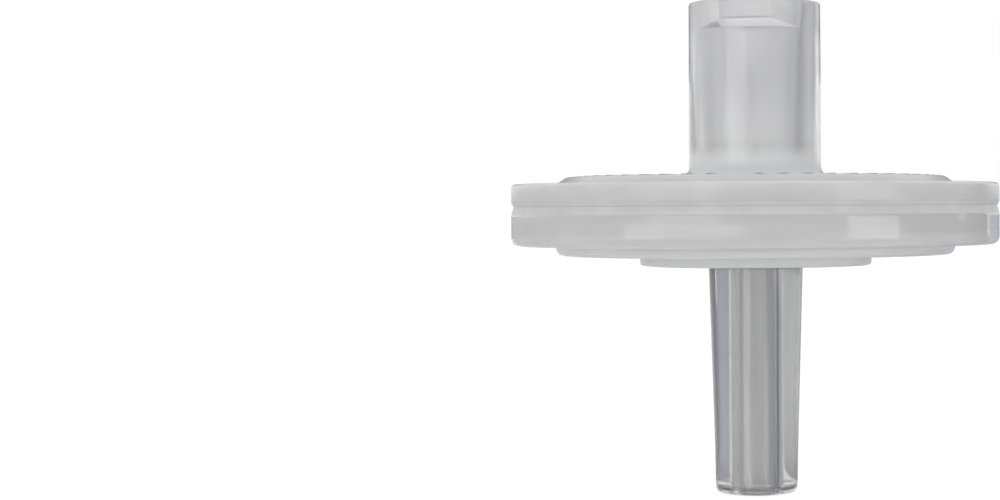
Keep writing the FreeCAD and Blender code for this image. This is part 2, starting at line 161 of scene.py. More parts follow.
# name, colour, first azimuth, last azimuth, profile
CARDS = (
    ("low_grey_card", "#A2A3A8", 73, 117, LOW_CARD),
    ("low_dark_card", "#03050C", 117, 130, LOW_CARD),
    ("low_slate_card", "#6E7A96", 130, 136, LOW_CARD),
    ("low_blue_card", "#AAB1C0", 136, 163, TALL_CARD),
    ("low_light_card", "#E2E2E2", 163, 188, LOW_CARD),
    ("low_pale_card", "#CACACA", 203, 262, TALL_CARD),
    ("middle_dark_card", "#3A3B3E", 70, 133, MIDDLE_CARD),
    ("middle_grey_card", "#B4B4B4", 163, 203, MIDDLE_CARD),
    ("rear_dark_card", "#0A1434", 110, 132, REAR_CARD),
    ("high_dark_card", "#181C30", 55, 103, HIGH_CARD),
    ("back_grey_card", "#7C7D80", 150, 210, BACK_CARD),
)
FLOOR_SIZE = 10
FILL_LEVEL = 0.87
FLOOR_GLOW = 0.9
FLOOR_SHADOW = 0.2

# the camera, and how far it, the lamps and the cards are turned about the filter together
STUDIO_TURN = math.radians(6.3)
CAMERA_DISTANCE = 100 * MM
CAMERA_LEVEL = 13.9 * MM
CAMERA_ROLL = math.radians(0.3)
CAMERA_SHIFT = (-0.2554, -0.04)
SENSOR_WIDTH = 36
LENS_REACH = 2.0213


def linear(hex_colour):
    """Gives an sRGB hex colour as linear red, green, blue and alpha."""
    channels = [int(hex_colour[start:start + 2], 16) / 255 for start in (1, 3, 5)]
    return [c / 12.92 if c <= 0.04045 else ((c + 0.055) / 1.055) ** 2.4 for c in channels] + [1.0]


class InletSizes(PropertyGroup):
    """Sizes of the upper shell."""
    flange_thickness: FloatProperty(
        name="Flange thickness", description="Height of the upper flange above the weld plane",
        default=1.1 * MM, unit="LENGTH")
    step_height: FloatProperty(
        name="Step height", description="Rise of the shallow step on the flange",
        default=0.35 * MM, unit="LENGTH")
    step_radius: FloatProperty(
        name="Step radius", description="Radius of the step at its foot",
        default=9.83 * MM, unit="LENGTH")
    step_slope_width: FloatProperty(
        name="Step slope width", description="How far the side of the step leans in",
        default=0.5 * MM, unit="LENGTH")
    plug_radius: FloatProperty(
        name="Plug radius", description="Radius of the plug that clamps the membrane",
        default=10.3 * MM, unit="LENGTH")
    chamber_radius: FloatProperty(
        name="Chamber radius", description="Radius of the chambers on both sides of the membrane",
        default=8.05 * MM, unit="LENGTH")
    chamber_depth: FloatProperty(
        name="Chamber depth", description="Height of the inlet chamber above the plug's face",
        default=0.45 * MM, unit="LENGTH")
    hub_radius: FloatProperty(
        name="Hub radius", description="Outer radius of the hub at its top",
        default=3.25 * MM, unit="LENGTH")
    hub_draft: FloatProperty(
        name="Hub draft", description="How much wider in radius the hub is at its foot",
        default=0.025 * MM, unit="LENGTH")
    hub_foot_round: FloatProperty(
        name="Hub foot round", description="Radius of the fillet round the hub's foot",
        default=0.48 * MM, unit="LENGTH")
    socket_radius: FloatProperty(
        name="Socket radius", description="Radius of the Luer socket at its mouth",
        default=2.15 * MM, unit="LENGTH")
    socket_depth: FloatProperty(
        name="Socket depth", description="Depth of the Luer socket",
        default=8.0 * MM, unit="LENGTH")
    lug_reach: FloatProperty(
        name="Lug reach", description="Distance of each lug's crest from the axis",
        default=3.9 * MM, unit="LENGTH")
    lug_crest_width: FloatProperty(
        name="Lug crest width", description="Width of each lug's flat crest",
        default=2.5 * MM, unit="LENGTH")
    lug_height: FloatProperty(
        name="Lug height", description="Height of the two Luer lock lugs",
        default=1.4 * MM, unit="LENGTH")
    port_radius: FloatProperty(
        name="Port radius", description="Radius of the passage under the socket",
        default=1.15 * MM, unit="LENGTH")


class OutletSizes(PropertyGroup):
    """Sizes of the lower shell."""
    rim_radius: FloatProperty(
        name="Rim radius", description="Radius of the welded rim of both shells",
        default=-OUTLET_LOW.x, unit="LENGTH")
    flange_thickness: FloatProperty(
        name="Flange thickness", description="Height of the lower flange below the weld plane",
        default=1.9 * MM, unit="LENGTH")
    flange_round: FloatProperty(
        name="Flange round", description="Radius of the rim's lower edge",
        default=0.38 * MM, unit="LENGTH")
    step_depth: FloatProperty(
        name="Step depth", description="Height of the wide step under the flange",
        default=0.49 * MM, unit="LENGTH")
    boss_depth: FloatProperty(
        name="Boss depth", description="Height of the boss round the tip",
        default=0.53 * MM, unit="LENGTH")
    boss_radius: FloatProperty(
        name="Boss radius", description="Radius of the boss round the tip",
        default=5.73 * MM, unit="LENGTH")
    tip_radius: FloatProperty(
        name="Tip radius", description="Radius of the Luer tip at its end",
        default=2.0 * MM, unit="LENGTH")
    luer_taper: FloatProperty(
        name="Luer taper", description="Gain of diameter for each unit of length",
        default=0.06, unit="NONE")
    bore_radius: FloatProperty(
        name="Bore radius", description="Radius of the flow bore through the tip",
        default=0.9 * MM, unit="LENGTH")
    drain_depth: FloatProperty(
        name="Drain depth", description="Depth of the drain chamber under the membrane",
        default=0.6 * MM, unit="LENGTH")
    groove_depth: FloatProperty(
        name="Groove depth", description="Depth of the weld groove round the rim",
        default=0.115 * MM, unit="LENGTH")
    groove_above: FloatProperty(
        name="Groove above", description="Height of the weld groove above the weld plane",
        default=0.2 * MM, unit="LENGTH")
    groove_below: FloatProperty(
        name="Groove below", description="Height of the weld groove below the weld plane",
        default=0.4 * MM, unit="LENGTH")


class RibSizes(PropertyGroup):
    """Sizes of the ribs in the two chambers."""
    ring_count: IntProperty(
        name="Ring count", description="Number of round ribs in the inlet chamber",
        default=4, min=1)
    ring_field_radius: FloatProperty(
        name="Ring field radius", description="Inner radius of the smallest round rib",
        default=3.2 * MM, unit="LENGTH")
    ring_width: FloatProperty(
        name="Ring width", description="Width of each round rib",
        default=0.775 * MM, unit="LENGTH")
    ring_pitch: FloatProperty(
        name="Ring pitch", description="Step in radius from one round rib to the next",
        default=1.15 * MM, unit="LENGTH")
    ring_height: FloatProperty(
        name="Ring height", description="Height of the round ribs",
        default=0.35 * MM, unit="LENGTH")
    channel_width: FloatProperty(
        name="Channel width", description="Width of the channels that cut the round ribs",
        default=0.9 * MM, unit="LENGTH")
    spoke_count: IntProperty(
        name="Spoke count", description="Number of spokes in the drain chamber",
        default=24, min=3)
    long_spoke_step: IntProperty(
        name="Long spoke step", description="Each spoke of this number reaches further in",
        default=3, min=1)
    spoke_width: FloatProperty(
        name="Spoke width", description="Width of each spoke", default=0.5 * MM, unit="LENGTH")
    spoke_inner_radius: FloatProperty(
        name="Spoke inner radius", description="Where the common spokes begin",
        default=3.4 * MM, unit="LENGTH")
    long_spoke_inner_radius: FloatProperty(
        name="Long spoke inner radius", description="Where the long spokes begin",
        default=1.6 * MM, unit="LENGTH")
    spoke_outer_radius: FloatProperty(
        name="Spoke outer radius", description="Where all spokes end",
        default=7.6 * MM, unit="LENGTH")


class PrintSizes(PropertyGroup):
    """Sizes of the plain printed scale."""
    inner_radius: FloatProperty(
        name="Inner radius", description="Where the printed ticks begin",
        default=7.5 * MM, unit="LENGTH")
    tick_length: FloatProperty(
        name="Tick length", description="Length of each printed tick",
        default=1.4 * MM, unit="LENGTH")
    tick_width: FloatProperty(
        name="Tick width", description="Width of each printed tick",
        default=0.34 * MM, unit="LENGTH")
    ink_height: FloatProperty(
        name="Ink height", description="How proud the ink stands",
        default=0.03 * MM, unit="LENGTH")
    tick_count: IntProperty(
        name="Tick count", description="Ticks of a full circle", default=48, min=4)


class FinishColours(PropertyGroup):
    """Colours of the finishes."""
    plastic: FloatVectorProperty(
        name="Plastic", description="Natural polypropylene", subtype="COLOR", size=4,
        min=0, max=1, default=linear("#D2D2D3"))
    polished_plastic: FloatVectorProperty(
        name="Polished plastic", description="Natural polypropylene where the mould was polished",
        subtype="COLOR", size=4, min=0, max=1, default=linear("#D0D0D1"))
    drawn_plastic: FloatVectorProperty(
        name="Drawn plastic", description="Clearer natural polypropylene of the hub",
        subtype="COLOR", size=4, min=0, max=1, default=linear("#E9E9EB"))
    # painted light: paler than the hub, to lift the shade at its foot
    drawn_painted_lift_plastic: FloatVectorProperty(
        name="Drawn painted lift plastic", description="Natural polypropylene of the hub near its foot",
        subtype="COLOR", size=4, min=0, max=1, default=linear("#F8F8F9"))
    # painted light: paler than the plastic, to lift the shade round the hub's foot, on the step and
    # under the flange
    painted_lift_plastic: FloatVectorProperty(
        name="Painted lift plastic", description="Natural polypropylene where painted light lifts the shade",
        subtype="COLOR", size=4, min=0, max=1, default=linear("#F0F1F2"))
    welded_plastic: FloatVectorProperty(
        name="Welded plastic", description="Polypropylene that melted along the weld",
        subtype="COLOR", size=4, min=0, max=1, default=linear("#B4B4B5"))
    clear_plastic: FloatVectorProperty(
        name="Clear plastic", description="Quickly cooled, clearer polypropylene of the tip",
        subtype="COLOR", size=4, min=0, max=1, default=linear("#D9D9D9"))
    membrane: FloatVectorProperty(
        name="Membrane", description="White porous membrane", subtype="COLOR", size=4,
        min=0, max=1, default=linear("#EFEFEE"))
    ink: FloatVectorProperty(
        name="Ink", description="Black printing ink", subtype="COLOR", size=4,
        min=0, max=1, default=linear("#141414"))
    floor: FloatVectorProperty(
        name="Floor", description="Pale floor", subtype="COLOR", size=4,
        min=0, max=1, default=linear("#F4F4F4"))


def add_node(tree, kind, settings, inputs):
    """Adds a node, gives it its settings, and sets or links its inputs."""
    node = tree.nodes.new(kind)
    for name, value in settings.items():
        setattr(node, name, value)
    for socket, value in inputs.items():
        if isinstance(value, NodeSocket):
            tree.links.new(value, node.inputs[socket])
        else:
            node.inputs[socket].default_value = value
    return node


def new_finish(name, plain_values):
    """Starts a material from a Principled shader with plain values on its sockets."""
    material = bpy.data.materials.new(name)
    material.use_nodes = True
    shader = material.node_tree.nodes["Principled BSDF"]
    for socket, value in plain_values.items():
        shader.inputs[socket].default_value = value
    place = add_node(material.node_tree, "ShaderNodeTexCoord", {}, {})
    return material, shader, place.outputs["Object"]


def link_look(tree, shader, tint, gloss, relief):
    """Links a tint, a gloss and a relief to a Principled shader."""
    tree.links.new(tint.outputs[MIX_COLOUR], shader.inputs["Base Color"])
    tree.links.new(gloss.outputs["Result"], shader.inputs["Roughness"])
    tree.links.new(relief.outputs["Normal"], shader.inputs["Normal"])


def polypropylene(
        name, colour, painted_lift, clearness, gloss_range, ripple_height, scatter=1.0, marks=(1, 1, 1)):
    """Natural polypropylene, injection moulded: see-through and milky at once."""
    # Light goes in, scatters for about a millimetre and comes out again, and part of it
    # passes straight through, so ribs and bores show softly. Flow marks make it cloudy.
    known = bpy.data.materials.get(name)
    if known:
        return known
    material, shader, place = new_finish(name, {
        "IOR": 1.49,
        "Transmission Weight": clearness,
        "Subsurface Weight": scatter,
        "Subsurface Radius": (1.0, 1.0, 1.0),
        "Subsurface Scale": SCATTER_LENGTH,
    })
    tree = material.node_tree
    drawn = add_node(tree, "ShaderNodeMapping", {}, {"Vector": place, "Scale": marks})
    cloud = add_node(tree, "ShaderNodeTexNoise", {}, {
        "Vector": drawn.outputs["Vector"], "Scale": 1 / CLOUD_SIZE,
        "Detail": 3.0, "Distortion": 0.6})
    outer = add_node(tree, "ShaderNodeMix", {"data_type": "RGBA"}, {
        MIX_FACTOR: cloud.outputs["Fac"], MIX_FIRST: colour, MIX_SECOND: cloudier(colour)})
    # painted light: paler round the hub's foot, on the step and on the steps underneath, to lift
    # the shade that falls there
    tint = add_node(tree, "ShaderNodeMix", {"data_type": "RGBA"}, {
        MIX_FACTOR: painted_lift_share(tree, place),
        MIX_FIRST: outer.outputs[MIX_COLOUR], MIX_SECOND: painted_lift})
    grain = add_node(tree, "ShaderNodeTexNoise", {}, {
        "Vector": place, "Scale": 1 / GRAIN_SIZE, "Detail": 2.0})
    gloss = add_node(tree, "ShaderNodeMapRange", {}, {
        "Value": grain.outputs["Fac"], "To Min": gloss_range[0], "To Max": gloss_range[1]})
    ripple = add_node(tree, "ShaderNodeTexNoise", {}, {
        "Vector": drawn.outputs["Vector"], "Scale": 1 / RIPPLE_SIZE, "Detail": 2.0})
    relief = add_node(tree, "ShaderNodeBump", {}, {
        "Height": ripple.outputs["Fac"], "Distance": ripple_height, "Strength": 1.0})
    link_look(tree, shader, tint, gloss, relief)
    return material


def painted_lift_share(tree, place):
    """Gives how thick the plastic is: 0 at the rim and the hub's top, and 1 near the middle."""
    # The steps underneath count as thick all over.
    across = add_node(tree, "ShaderNodeVectorMath", {"operation": "MULTIPLY"}, {
        0: place, 1: (1, 1, 0)})
    radius = add_node(tree, "ShaderNodeVectorMath", {"operation": "LENGTH"}, {
        0: across.outputs["Vector"]}).outputs["Value"]
    level = add_node(tree, "ShaderNodeSeparateXYZ", {}, {"Vector": place}).outputs["Z"]
    inside, below, above = (
        add_node(tree, "ShaderNodeMapRange", {"interpolation_type": "SMOOTHSTEP"}, {
            "Value": value, "From Min": start, "From Max": end}).outputs["Result"]
        for value, (start, end) in (
            (radius, PAINTED_LIFT_RADII), (level, PAINTED_LIFT_LEVELS), (level, PAINTED_LIFT_FOOT)))
    painted_lift = add_node(tree, "ShaderNodeMath", {"operation": "MULTIPLY"}, {0: inside, 1: below})
    return add_node(tree, "ShaderNodeMix", {}, {
        MIX_FACTOR: above, MIX_FIRST_NUMBER: UNDERSIDE_LIFT_SHARE,
        MIX_SECOND_NUMBER: painted_lift.outputs[0]}).outputs[MIX_NUMBER]


def cloudier(colour):
    """Gives a plastic's colour where it is a little milkier."""
    return [channel + CLOUD_GAIN * (1 - channel) for channel in colour[:3]] + [1.0]


def satin_polypropylene():
    """Polypropylene from a satin steel mould."""
    # The mould was blasted, which softens every reflection.
    colours = bpy.context.scene.filter_finish_colours
    return polypropylene(
        "satin_moulded_polypropylene", colours.plastic, colours.painted_lift_plastic,
        SATIN_CLEARNESS, gloss_range=(0.2, 0.26), ripple_height=0.0006 * MM)


def glossy_polypropylene():
    """Polypropylene from a turned and polished steel ring."""
    # The rim mirrors the lights as bright bands with clear ends, and carries the faint level
    # ripples that turning left in the ring; the level streaks in its colour are painted
    # reflections.
    colours = bpy.context.scene.filter_finish_colours
    return polypropylene(
        "turned_moulded_polypropylene", colours.polished_plastic, colours.painted_lift_plastic,
        SATIN_CLEARNESS, gloss_range=(0.05, 0.09), ripple_height=0.0006 * MM,
        marks=TURNING_MARKS_AND_PAINTED_STREAKS)


def drawn_polypropylene():
    """Polypropylene from a steel sleeve polished along the hub."""
    # Clearer than the flanges: the socket inside bends the light, so the hub carries soft
    # upright bands, and one dark band on its right. They fade out towards its foot.
    colours = bpy.context.scene.filter_finish_colours
    material = polypropylene(
        "drawn_moulded_polypropylene", colours.drawn_plastic, colours.drawn_painted_lift_plastic,
        DRAWN_CLEARNESS, gloss_range=(0.07, 0.12), ripple_height=0.0004 * MM,
        marks=DRAWING_MARKS)
    tree = material.node_tree
    shader = tree.nodes["Principled BSDF"]
    level = add_node(tree, "ShaderNodeSeparateXYZ", {}, {
        "Vector": tree.nodes["Texture Coordinate"].outputs["Object"]})
    start, end = HUB_CLEARING_AND_PAINTED_LIFT
    clearing_and_lift = add_node(tree, "ShaderNodeMapRange", {"interpolation_type": "SMOOTHSTEP"}, {
        "Value": level.outputs["Z"], "From Min": start, "From Max": end})
    clearness = add_node(tree, "ShaderNodeMapRange", {}, {
        "Value": clearing_and_lift.outputs["Result"],
        "To Min": SATIN_CLEARNESS, "To Max": DRAWN_CLEARNESS})
    # painted light: the hub's colour turns paler towards its foot, to lift the shade there
    tint = add_node(tree, "ShaderNodeMix", {"data_type": "RGBA"}, {
        MIX_FACTOR: clearing_and_lift.outputs["Result"], MIX_FIRST: colours.painted_lift_plastic,
        MIX_SECOND: shader.inputs["Base Color"].links[0].from_socket})
    tree.links.new(tint.outputs[MIX_COLOUR], shader.inputs["Base Color"])
    tree.links.new(clearness.outputs["Result"], shader.inputs["Transmission Weight"])
    return material


def welded_polypropylene():
    """Polypropylene that melted and set again in the weld, by ultrasound."""
    # It came out milky and matt, so the groove along the weld is as pale as the rim.
    colours = bpy.context.scene.filter_finish_colours
    return polypropylene(
        "welded_polypropylene", colours.welded_plastic, colours.welded_plastic,
        clearness=0.0, gloss_range=(0.4, 0.55), ripple_height=0.002 * MM, scatter=0.0)


def clear_polypropylene():
    """Polypropylene from a polished steel pin, thin and quickly cooled."""
    # Quick cooling leaves it clearer and greyer: its bore shows as a dark streak.
    colours = bpy.context.scene.filter_finish_colours
    return polypropylene(
        "clear_moulded_polypropylene", colours.clear_plastic, colours.clear_plastic,
        clearness=0.85, gloss_range=(0.05, 0.1), ripple_height=0.0002 * MM)


def speckled(name, colour, second_colour, ior, grain_size, detail, gloss_range, relief_height):
    """Makes an opaque finish whose tint, gloss and relief follow one fine grain."""
    material, shader, place = new_finish(name, {"IOR": ior})
    tree = material.node_tree
    grain = add_node(tree, "ShaderNodeTexNoise", {}, {
        "Vector": place, "Scale": 1 / grain_size, "Detail": detail}).outputs["Fac"]
    tint = add_node(tree, "ShaderNodeMix", {"data_type": "RGBA"}, {
        MIX_FACTOR: grain, MIX_FIRST: colour, MIX_SECOND: second_colour})
    gloss = add_node(tree, "ShaderNodeMapRange", {}, {
        "Value": grain, "To Min": gloss_range[0], "To Max": gloss_range[1]})
    relief = add_node(tree, "ShaderNodeBump", {}, {
        "Height": grain, "Distance": relief_height, "Strength": 1.0})
    link_look(tree, shader, tint, gloss, relief)
    return material


def porous_membrane():
    """Regenerated cellulose membrane, cast."""
    # The pores are too small to see and scatter all light, so it is flat white and matt.
    return speckled(
        "cast_cellulose_membrane", bpy.context.scene.filter_finish_colours.membrane,
        linear("#F4F4F3"), ior=1.4, grain_size=FLEECE_SIZE, detail=4.0,
        gloss_range=(0.85, 0.95), relief_height=0.01 * MM)


def printing_ink():
    """Black ink, pad printed."""
    # A thin film of even black with a slight gloss and a faintly uneven edge of cover.
    return speckled(
        "pad_printed_ink", bpy.context.scene.filter_finish_colours.ink,
        linear("#242424"), ior=1.5, grain_size=GRAIN_SIZE, detail=3.0,
        gloss_range=(0.35, 0.5), relief_height=0.004 * MM)


def begin_piece(name):
    """Names the object just added and fixes its place in its mesh."""
    piece = bpy.context.object
    piece.name = name
    piece.data.name = name
    bpy.ops.object.transform_apply(location=True, rotation=True, scale=True)
    return piece


def pick(piece, kind, wanted):
    """Selects the vertices, edges or faces that a test wants, and nothing else."""
    shape = bmesh.from_edit_mesh(piece.data)
    bpy.ops.mesh.select_mode(type={"verts": "VERT", "edges": "EDGE", "faces": "FACE"}[kind])
    bpy.ops.mesh.select_all(action="DESELECT")
    for element in getattr(shape, kind):
        if wanted(element):
            element.select_set(True)
    shape.select_flush_mode()
    bmesh.update_edit_mesh(piece.data)


def close_and_orient():
    """Merges doubles and points all faces of the edited mesh outwards."""
    bpy.ops.mesh.select_all(action="SELECT")
    bpy.ops.mesh.remove_doubles(threshold=NEARLY)
    bpy.ops.mesh.normals_make_consistent(inside=False)


def round_picked(size, steps, affect="EDGES"):
    """Rounds the edges or corners that are picked."""
    bpy.ops.mesh.bevel(
        offset_type="OFFSET", offset=size, segments=steps, profile=0.5, affect=affect)


def traced_line(name, points):
    """Draws a line of edges through points, and leaves it open in edit mode."""
    bpy.ops.object.select_all(action="DESELECT")
    bpy.ops.mesh.primitive_plane_add(size=MM, location=points[0])
    line = begin_piece(name)
    bpy.ops.object.mode_set(mode="EDIT")
    bpy.ops.mesh.select_mode(type="VERT")
    bpy.ops.mesh.select_all(action="SELECT")
    bpy.ops.mesh.merge(type="CENTER")
    for start, end in zip(points, points[1:]):
        bpy.ops.mesh.extrude_region_move(
            TRANSFORM_OT_translate={"value": [b - a for a, b in zip(start, end)]})
    return line


def turned_solid(name, corners, ring_shaped):
    """Turns a profile of (radius, level, rounding) corners about the flow axis."""
    points = [(radius, 0, level) for radius, level, _ in corners]
    piece = traced_line(name, points)
    if ring_shaped:
        ends = [Vector(point) for point in (points[0], points[-1])]
        pick(piece, "verts", lambda v: any((v.co - end).length < NEARLY for end in ends))
        bpy.ops.mesh.edge_face_add()
    for radius, level, rounding in corners:
        if rounding:
            corner = Vector((radius, 0, level))
            pick(piece, "verts", lambda v: (v.co - corner).length < NEARLY)
            round_picked(rounding, ROUND_STEPS, "VERTICES")
    bpy.ops.mesh.select_all(action="SELECT")
    bpy.ops.mesh.spin(
        steps=SPIN_STEPS, angle=math.tau, center=(0, 0, 0), axis=(0, 0, 1), use_auto_merge=True)
    close_and_orient()
    bpy.ops.object.mode_set(mode="OBJECT")
    return piece


def work_into(piece, tool, operation):
    """Joins the tool to the piece or cuts it away, and removes the tool."""
    bpy.ops.object.select_all(action="DESELECT")
    bpy.context.view_layer.objects.active = piece
    piece.select_set(True)
    modifier = piece.modifiers.new(operation.title(), "BOOLEAN")
    modifier.operation = operation
    modifier.solver = "EXACT"
    modifier.object = tool
    bpy.ops.object.modifier_apply(modifier=modifier.name)
    bpy.data.objects.remove(tool)


def copies_round(pattern, count, skipped):
    """Copies a pattern round the flow axis and joins all into one object."""
    rows = [pattern]
    for number in range(1, count):
        if skipped(number):
            continue
        copy = pattern.copy()
        copy.data = pattern.data.copy()
        bpy.context.collection.objects.link(copy)
        copy.data.transform(Matrix.Rotation(math.tau * number / count, 4, "Z"))
        rows.append(copy)
    return join(rows)


def join(rows):
    """Joins several objects into the first of them."""
    bpy.ops.object.select_all(action="DESELECT")
    for row in rows:
        row.select_set(True)
    bpy.context.view_layer.objects.active = rows[0]
    bpy.ops.object.join()
    return rows[0]


def finish_piece(piece, materials, node=None):
    """Smooths a piece, gives it its materials, and ties it to the frame."""
    bpy.ops.object.select_all(action="DESELECT")
    piece.select_set(True)
    bpy.context.view_layer.objects.active = piece
    bpy.ops.object.mode_set(mode="EDIT")
    close_and_orient()
    bpy.ops.object.mode_set(mode="OBJECT")
    piece.data.materials.clear()
    for material in materials:
        piece.data.materials.append(material)
    bpy.ops.object.shade_smooth_by_angle(angle=SMOOTH_ANGLE)
    modifier = piece.modifiers.new("Flat faces stay flat", "WEIGHTED_NORMAL")
    modifier.keep_sharp = True
    bpy.ops.object.modifier_apply(modifier=modifier.name)
    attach(piece, "root")
    if node:
        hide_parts(node)


def assign_finish(piece, number, wanted):
    """Gives the faces that a test wants the piece's material of that number."""
    bpy.context.view_layer.objects.active = piece
    bpy.ops.object.mode_set(mode="EDIT")
    pick(piece, "faces", wanted)
    piece.active_material_index = number
    bpy.ops.object.material_slot_assign()
    bpy.ops.object.mode_set(mode="OBJECT")


def step_top(sizes):
    """Level of the shallow step's top, which carries the hub."""
    return OUTLET_HIGH.z + sizes.flange_thickness + sizes.step_height


def neck_radius(sizes):
    """Radius of the hub where its lugs begin."""
    hub_length = INLET_HIGH.z - step_top(sizes)
    return sizes.hub_radius + sizes.hub_draft * sizes.lug_height / hub_length


def lugged_head(sizes):
    """Makes the top of the hub with its two lugs from one outline."""
    bottom, top = INLET_HIGH.z - sizes.lug_height, INLET_HIGH.z
    middle = (bottom + top) / 2
    bpy.ops.object.select_all(action="DESELECT")
    bpy.ops.mesh.primitive_cone_add(
        vertices=SPIN_STEPS, radius1=neck_radius(sizes), radius2=sizes.hub_radius,
        depth=sizes.lug_height, location=(0, 0, middle))
    head = begin_piece("head")
    bpy.ops.object.mode_set(mode="EDIT")
    bpy.ops.mesh.primitive_cube_add(
        size=1, location=(0, 0, middle + LUG_UNDERSIDE_RISE / 2),
        scale=(sizes.lug_crest_width, 2 * sizes.lug_reach, sizes.lug_height - LUG_UNDERSIDE_RISE))
    bpy.ops.mesh.select_all(action="SELECT")
    bpy.ops.mesh.convex_hull(delete_unused=True, use_existing_faces=False, join_triangles=True)
    bpy.ops.mesh.dissolve_limited(angle_limit=FLAT_ANGLE)
    crest_bottom = bottom + LUG_UNDERSIDE_RISE
    at_crest = sizes.lug_reach - EDGE_MARGIN
    pick(head, "edges", lambda e: all(
        abs(v.co.z - crest_bottom) < NEARLY and abs(v.co.y) > at_crest for v in e.verts))
    round_picked(LUG_UNDERSIDE_ROUND, steps=3)
    pick(head, "edges", lambda e: all(abs(v.co.z - top) < NEARLY for v in e.verts) and len(
        {round(f.normal.z) for f in e.link_faces}) > 1)
    round_picked(HUB_TOP_ROUND, ROUND_STEPS)
    bpy.ops.object.mode_set(mode="OBJECT")
    return head


def ring_ribs(ribs, ceiling):
    """Makes the round ribs of the inlet chamber, cut by straight and slanting channels."""
    sine, cosine = math.sin(EIGHTH_TURN), math.cos(EIGHTH_TURN)
    half_channel = ribs.channel_width / 2
    height = ribs.ring_height + RIB_ROOT
    rows = []
    for number in range(ribs.ring_count):
        radius = ribs.ring_field_radius + ribs.ring_pitch * number + ribs.ring_width / 2
        bpy.ops.object.select_all(action="DESELECT")
        bpy.ops.mesh.primitive_plane_add(
            size=1, location=(radius, 0, ceiling - ribs.ring_height + height / 2),
            rotation=(QUARTER_TURN, 0, 0))
        section = bpy.context.object
        section.scale = (ribs.ring_width, height, 1)
        ring = begin_piece("ring_rib")
        bpy.ops.object.mode_set(mode="EDIT")
        bpy.ops.mesh.select_all(action="SELECT")
        bpy.ops.mesh.spin(
            steps=RING_STEPS, angle=-EIGHTH_TURN, center=(0, 0, 0), axis=(0, 0, 1),
            use_auto_merge=True)
        for point, normal in (
            ((0, half_channel, 0), (0, -1, 0)),
            ((half_channel / sine, 0, 0), (-sine, cosine, 0)),
        ):
            bpy.ops.mesh.select_all(action="SELECT")
            bpy.ops.mesh.bisect(
                plane_co=point, plane_no=normal, use_fill=True, clear_outer=True,
                threshold=NEARLY)
        slant, side = Vector((cosine, sine, 0)), Vector((sine, -cosine, 0))
        pick(ring, "edges", lambda e: is_upright(e) and all(
            abs(v.co.dot(side) - half_channel) < EDGE_MARGIN and v.co.dot(slant) > 0
            for v in e.verts))
        round_picked(RING_END_ROUND, steps=4)
        close_and_orient()
        bpy.ops.object.mode_set(mode="OBJECT")
        rows.append(ring)
    sector = join(rows)
    mirrored = sector.copy()
    mirrored.data = sector.data.copy()
    bpy.context.collection.objects.link(mirrored)
    mirrored.data.transform(Matrix(((0, 1, 0, 0), (1, 0, 0, 0), (0, 0, 1, 0), (0, 0, 0, 1))))
    mirrored.data.flip_normals()
    return copies_round(join([sector, mirrored]), 4, lambda number: False)


def is_upright(edge):
    """Tells whether an edge runs along the flow axis."""
    first, second = (v.co for v in edge.verts)
    return (first.xy - second.xy).length < NEARLY


def drain_spokes(ribs, floor, seat):
    """Makes the spokes of the drain chamber: common ones, and long ones between them."""
    sorts = (
        (ribs.spoke_inner_radius, lambda number: number % ribs.long_spoke_step == 0),
        (ribs.long_spoke_inner_radius, lambda number: number % ribs.long_spoke_step != 0),
    )
    bottom = floor - RIB_ROOT
    rows = []
    for inner_radius, left_out in sorts:
        length = ribs.spoke_outer_radius - inner_radius
        bpy.ops.object.select_all(action="DESELECT")
        bpy.ops.mesh.primitive_cube_add(
            size=1, location=(inner_radius + length / 2, 0, (bottom + seat) / 2),
            scale=(length, ribs.spoke_width, seat - bottom))
        spoke = begin_piece("spoke")
        bpy.ops.object.mode_set(mode="EDIT")
        pick(spoke, "edges", is_upright)
        round_picked(SPOKE_END_ROUND, steps=4)
        pick(spoke, "edges", lambda e: all(abs(v.co.z - seat) < NEARLY for v in e.verts))
        round_picked(SPOKE_TOP_ROUND, steps=2)
        bpy.ops.object.mode_set(mode="OBJECT")
        if left_out(0):
            first = next(n for n in range(ribs.spoke_count) if not left_out(n))
            spoke.data.transform(Matrix.Rotation(math.tau * first / ribs.spoke_count, 4, "Z"))
            rows.append(copies_round(spoke, ribs.spoke_count, lambda n: left_out(n + first)))
        else:
            rows.append(copies_round(spoke, ribs.spoke_count, left_out))
    return join(rows)


def in_weld(face, sizes):
    """Tells whether a face lies in the groove that runs round the rim along the weld."""
    middle = face.calc_center_median()
    bottom, top = OUTLET_HIGH.z - sizes.groove_below, OUTLET_HIGH.z + sizes.groove_above
    outside = middle.xy.length > sizes.rim_radius - sizes.groove_depth - FINISH_MARGIN
    return outside and bottom < middle.z < top


